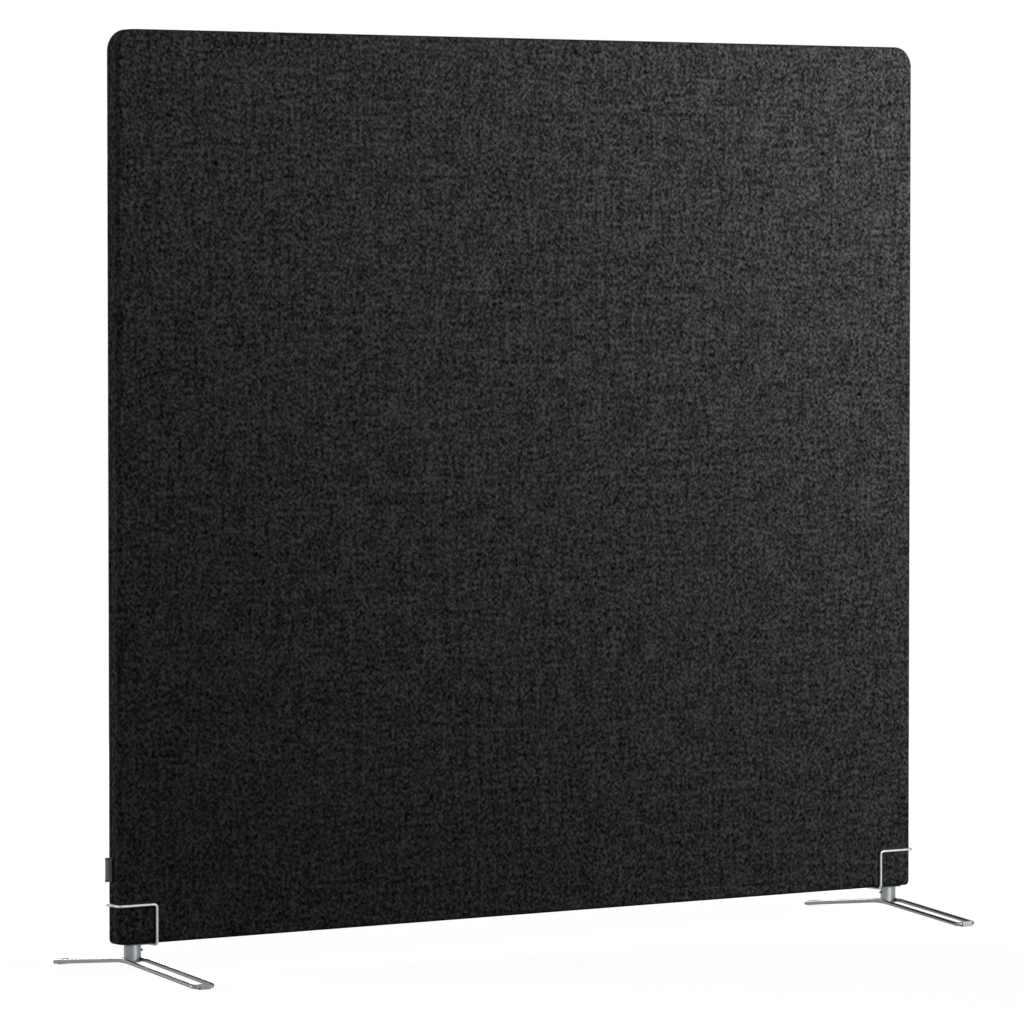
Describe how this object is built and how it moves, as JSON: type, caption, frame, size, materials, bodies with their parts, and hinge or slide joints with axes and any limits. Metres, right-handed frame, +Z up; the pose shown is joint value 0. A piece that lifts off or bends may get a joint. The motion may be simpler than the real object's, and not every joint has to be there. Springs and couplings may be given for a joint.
{
  "type": "acoustic divider screen",
  "caption": "Free-standing acoustic divider screen: a cloth-covered panel with rounded top corners, on wire corner clips with swivelling loop feet.",
  "frame": {"origin": "on the floor under the middle of the panel", "axes": "+X along the panel's width, towards its right end seen from the front; +Y through its thickness, from the front face to the back; +Z up"},
  "size_m": [1.516, 0.4016, 1.399],
  "materials": {
    "cover_cloth": "matte",
    "tag_ribbon": "matte",
    "wadding": "matte",
    "closure_tape": "matte",
    "acoustic_core": "matte",
    "frame_timber": "satin",
    "dowel_timber": "satin",
    "clip_wire": "satin",
    "stem_steel": "satin",
    "foot_rod": "satin",
    "foot_post_steel": "satin",
    "glide_plastic": "matte",
    "screw_steel": "satin"
  },
  "bodies": {
    "screen": {"front_cover": "cover_cloth", "back_cover": "cover_cloth", "edge_band": "cover_cloth", "side_tag": "tag_ribbon", "front_wadding": "wadding", "back_wadding": "wadding", "edge_felt": "wadding", "hook_tape": "closure_tape", "loop_tapes": "closure_tape", "left_core": "acoustic_core", "right_core": "acoustic_core", "top_rail": "frame_timber", "bottom_rail": "frame_timber", "left_stile": "frame_timber", "right_stile": "frame_timber", "mid_stile": "frame_timber", "frame_dowels": "dowel_timber", "left_wire_hoop": "clip_wire", "left_saddle_plate": "clip_wire", "left_stem": "stem_steel", "right_wire_hoop": "clip_wire", "right_saddle_plate": "clip_wire", "right_stem": "stem_steel"},
    "left_foot": {"left_foot_loop": "foot_rod", "left_foot_post": "foot_post_steel", "left_foot_glides": "glide_plastic"},
    "left_screw": {"left_lock_screw": "screw_steel"},
    "right_foot": {"right_foot_loop": "foot_rod", "right_foot_post": "foot_post_steel", "right_foot_glides": "glide_plastic"},
    "right_screw": {"right_lock_screw": "screw_steel"}
  },
  "joints": [
    {"name": "left_foot_swivel", "type": "hinge", "parent": "screen", "child": "left_foot", "pos_m": [-0.718, 0, 0.0385], "axis": [0, 0, 1], "continuous": true},
    {"name": "left_screw_turn", "type": "hinge", "parent": "left_foot", "child": "left_screw", "pos_m": [-0.718, 0, 0.0385], "axis": [1, 0, 0], "range_deg": [0, 360]},
    {"name": "right_foot_swivel", "type": "hinge", "parent": "screen", "child": "right_foot", "pos_m": [0.718, 0, 0.0385], "axis": [0, 0, 1], "continuous": true},
    {"name": "right_screw_turn", "type": "hinge", "parent": "right_foot", "child": "right_screw", "pos_m": [0.718, 0, 0.0385], "axis": [-1, 0, 0], "range_deg": [0, 360]}
  ]
}
